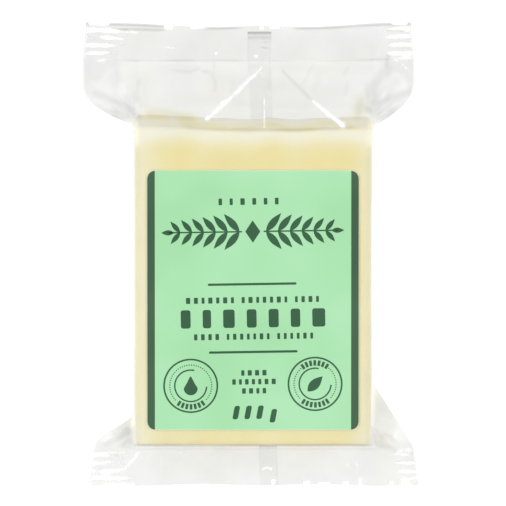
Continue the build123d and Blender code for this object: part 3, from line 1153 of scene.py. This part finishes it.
def leaf(base, angle, length, width, steps=14):
    # a pointed leaf: two mirrored bows from its base to its tip
    share = np.linspace(0, 1, steps + 1)
    bow = width / 2 * np.sin(np.pi * share ** 0.85)
    upper = np.stack([share * length, bow], axis=-1)
    lower = np.stack([share[-2:0:-1] * length, -bow[-2:0:-1]], axis=-1)
    return turned(np.concatenate([upper, lower])[::-1], angle) + np.array(base)


def drop(middle, size, steps=28):
    # a drop: a circle whose top is drawn up to a point
    turn = np.linspace(0, 2 * np.pi, steps, endpoint=False)
    x = size * np.cos(turn) * (1 - 0.55 * np.clip(np.sin(turn), 0, 1) ** 1.2)
    y = size * (np.sin(turn) + 0.75 * np.clip(np.sin(turn), 0, 1) ** 3) - 0.3 * size
    return np.stack([x, y], axis=-1) + np.array(middle)


def printRules():
    ink = Ink()
    for place in rules["places"]:
        ink.outline(bar(place, rules["width"], rules["height"], rules["radius"]))
    ink.make("printRules")


def printWords():
    # blocks where the lines of words would be
    ink = Ink()
    for line in words:
        wordBars(ink, *line)
    size = [leaningBars[part] for part in ("width", "height", "radius", "lean")]
    for place in leaningBars["places"]:
        ink.outline(bar(place, *size))
    ink.make("printWords")


def printSprig():
    # a pair of leafy sprigs that grow out from a lozenge, in the place of a name
    ink = Ink()
    middle = np.array(sprig["middle"])
    ink.outline(middle + np.array([[1, 0], [0, 1], [-1, 0], [0, -1]]) * sprig["lozenge"])
    length, shorter = sprig["length"]
    width, thinner = sprig["width"]
    tip, *endSize = sprig["endLeaf"]
    reach, *stalkSize = sprig["stalk"]
    for side, facing in ((-1, np.pi), (1, 0)):
        out = np.array([side, 0])
        for step in range(sprig["pairs"]):
            base = middle + out * (sprig["first"] + sprig["step"] * step)
            size = (length - shorter * step, width - thinner * step)
            for up in (-1, 1):
                angle = facing + side * up * np.radians(sprig["spread"])
                ink.outline(leaf(base, angle, *size))
        ink.outline(leaf(middle + out * tip, facing, *endSize))
        ink.outline(bar(middle + out * reach, *stalkSize))
    ink.make("printSprig")


def arcBlocks(ink, middle, towards):
    # a short arc of small blocks that face the badge's middle, about an angle in degrees
    count, spread = badges["blocks"]
    corners = np.array([(-1, 1), (-1, -1), (1, -1), (1, 1)]) * badges["blockHalf"]
    corners = corners + (badges["blockReach"], 0)
    for angle in np.radians(towards + np.linspace(-spread, spread, count)):
        ink.outline(turned(corners, angle) + np.array(middle))


def arcDots(ink, middle, start, stop, count):
    # a row of dots along an arc, between two angles in degrees
    for ray in rayAt(np.radians(np.linspace(start, stop, count))):
        ink.outline(bar(np.array(middle) + badges["dotReach"] * ray, *badges["dotSize"]))


def printBadges():
    # two round badges: an outer ring, dots, and an inner ring with a gap; one holds a drop
    # and the other a leaf
    ink = Ink()
    left, right = badges["left"], badges["right"]
    for middle in (left, right):
        ink.ring(middle, *badges["outerRing"])
        ink.ring(middle, *badges["innerRing"])
        arcBlocks(ink, middle, -90)
    arcDots(ink, left, -42, 222, 42)
    arcDots(ink, right, -42, 48, 15)
    arcDots(ink, right, 132, 222, 15)
    arcBlocks(ink, right, 90)
    ink.outline(drop((left[0], left[1] - 0.2), badges["dropSize"]))
    ink.outline(leaf((right[0] - 2.6, right[1] - 2.6), np.pi / 4, *badges["leafSize"]))
    ink.make("printBadges")


printRules()
printWords()
printSprig()
printBadges()
print("print on the label")


stage = {
    "floorReach": 3000,
    "floorGreys": ((0.44, 0.44, 0.44), (0.46, 0.46, 0.46)),
    "floorGlow": 0.72,
    "roomLight": 0.5,
    "boxSize": (1.2, 1.1),
    # each soft box: its place and its power
    "softBoxes": {
        "leftSoftBox": ((-0.8, 0.05, 0.65), 6.35),
        "rightSoftBox": ((0.8, 0.05, 0.65), 5.5),
    },
}
view = {"distance": 6, "lean": 8, "span": 0.1747, "aim": (0, 0.0117, 0.0325), "sensor": 36}


def makeFloor():
    # a broad flat sheet under the pack, far larger than the view
    steps = np.linspace(-stage["floorReach"], stage["floorReach"], 5)
    x, y = np.meshgrid(steps, steps)
    points = np.stack([x, y, 0 * x], axis=-1).reshape(-1, 3)
    floor = meshFrom("floor", points, gridQuads(np.arange(x.size).reshape(x.shape)).tolist())
    material, tree = newMaterial("paleFloor")
    colour = blendColours(tree, noise(tree, objectPlace(tree), 3, 2.0), *stage["floorGreys"])
    body = principled(tree, {"Base Color": colour}, Roughness=0.8, Specular_IOR_Level=0.1,
                      Emission_Color=(1, 1, 1, 1), Emission_Strength=stage["floorGlow"])
    finishMaterial(tree, body)
    floor.data.materials.append(material)


def makeLights():
    # a broad soft box on each side, turned to the pack, in a pale room
    for name, (place, power) in stage["softBoxes"].items():
        lamp = bpy.data.lights.new(name, "AREA")
        lamp.shape = "RECTANGLE"
        lamp.size, lamp.size_y = stage["boxSize"]
        lamp.energy = power
        box = newObject(name, lamp)
        box.location = place
        box.rotation_euler = (-Vector(place)).to_track_quat("-Z", "Y").to_euler()
    world = bpy.data.worlds.new("room")
    world.use_nodes = True
    background = world.node_tree.nodes["Background"]
    background.inputs["Color"].default_value = (1, 1, 1, 1)
    background.inputs["Strength"].default_value = stage["roomLight"]
    bpy.context.scene.world = world


def makeCamera():
    # a long lens over the pack, leaning a little past its top end
    lean = np.radians(view["lean"])
    towards = Vector((0, np.sin(lean), np.cos(lean)))
    up = Vector((0, np.cos(lean), -np.sin(lean)))
    data = bpy.data.cameras.new("camera")
    data.sensor_width = view["sensor"]
    data.lens = view["sensor"] * view["distance"] / view["span"]
    data.clip_end = 20
    camera = newObject("camera", data)
    turn = Matrix((up.cross(towards), up, towards)).transposed().to_4x4()
    camera.matrix_world = Matrix.Translation(Vector(view["aim"]) + towards * view["distance"]) @ turn
    bpy.context.scene.camera = camera


makeFloor()
makeLights()
makeCamera()
bpy.context.scene.view_settings.view_transform = "Standard"
bpy.context.scene.cycles.transparent_max_bounces = 24
print("stage ready")
